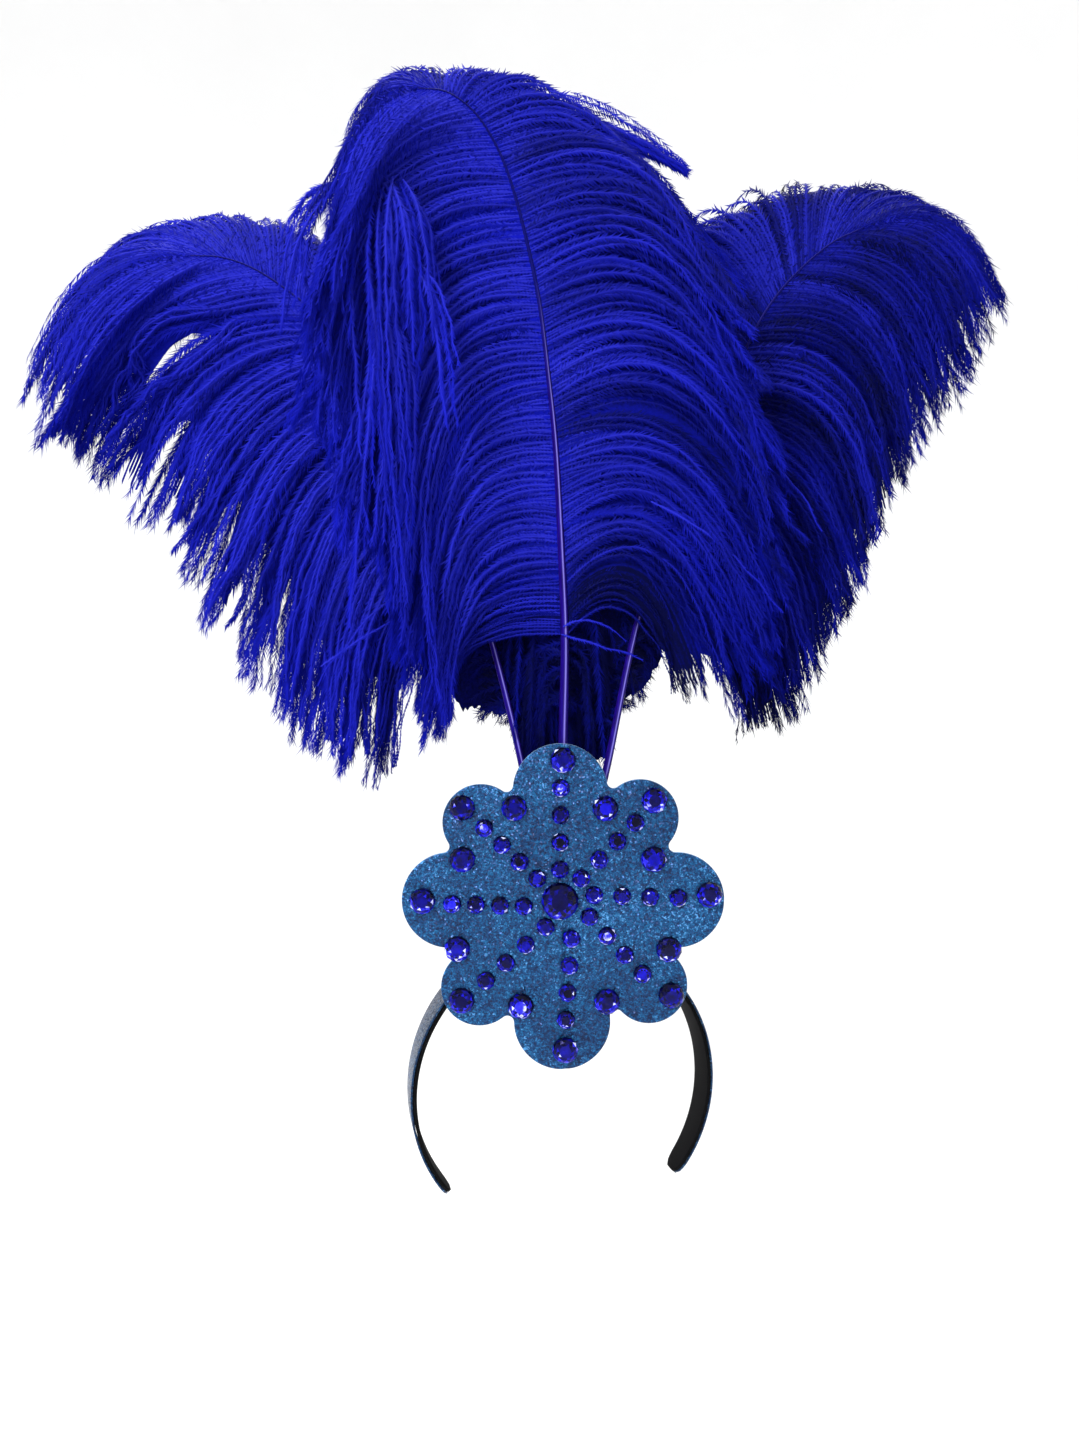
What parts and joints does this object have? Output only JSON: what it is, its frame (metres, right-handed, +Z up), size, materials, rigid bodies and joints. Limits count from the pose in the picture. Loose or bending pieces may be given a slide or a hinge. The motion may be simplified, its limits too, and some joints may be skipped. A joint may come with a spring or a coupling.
{
  "type": "rhinestone headdress",
  "caption": "Arched headband carrying a flower plaque set with faceted stones in front of three tall, drooping ostrich plumes; a showgirl headdress worn across the head.",
  "frame": {"origin": "underside of the headband's crown, where the band sits on a head", "axes": "+Z up through the band's crown and the plumes, the flower faces -Y (the wearer's front), +X is the viewer's right"},
  "size_m": [0.5049, 0.1541, 0.6044],
  "materials": {
    "black_band": "black sprung plastic band, lined with short black pile",
    "blue_glitter": "foam sheet with a skin of fine blue glitter",
    "black_felt": "plain black felt",
    "blue_stone": "clear cobalt acrylic, facetted and glossy, foiled at the back",
    "blue_feather": "dyed ostrich plume, soft with a silky sheen, on a glossy violet-blue quill"
  },
  "bodies": {
    "root": {"headband": "black_band", "headband_cover": "blue_glitter", "plume_mount": "black_felt", "plate_backing": "black_felt", "flower_plate": "blue_glitter", "stone_centre": "blue_stone", "stone_tip_1": "blue_stone", "stone_tip_2": "blue_stone", "stone_tip_3": "blue_stone", "stone_tip_4": "blue_stone", "stone_tip_5": "blue_stone", "stone_tip_6": "blue_stone", "stone_tip_7": "blue_stone", "stone_tip_8": "blue_stone", "stone_valley_1": "blue_stone", "stone_valley_2": "blue_stone", "stone_valley_3": "blue_stone", "stone_valley_4": "blue_stone", "stone_valley_5": "blue_stone", "stone_valley_6": "blue_stone", "stone_valley_7": "blue_stone", "stone_valley_8": "blue_stone", "stone_small_1": "blue_stone", "stone_small_2": "blue_stone", "stone_small_3": "blue_stone", "stone_small_4": "blue_stone", "stone_small_5": "blue_stone", "stone_small_6": "blue_stone", "stone_small_7": "blue_stone", "stone_small_8": "blue_stone", "stone_small_9": "blue_stone", "stone_small_10": "blue_stone", "stone_small_11": "blue_stone", "stone_small_12": "blue_stone", "stone_small_13": "blue_stone", "stone_small_14": "blue_stone", "stone_small_15": "blue_stone", "stone_small_16": "blue_stone", "stone_small_17": "blue_stone", "stone_small_18": "blue_stone", "stone_small_19": "blue_stone", "stone_small_20": "blue_stone", "stone_small_21": "blue_stone", "stone_small_22": "blue_stone", "stone_small_23": "blue_stone", "stone_small_24": "blue_stone", "stone_small_25": "blue_stone", "stone_small_26": "blue_stone", "stone_small_27": "blue_stone", "stone_small_28": "blue_stone", "stone_small_29": "blue_stone", "stone_small_30": "blue_stone", "stone_small_31": "blue_stone", "stone_small_32": "blue_stone", "plume_centre": "blue_feather", "plume_left": "blue_feather", "plume_right": "blue_feather"}
  },
  "joints": []
}
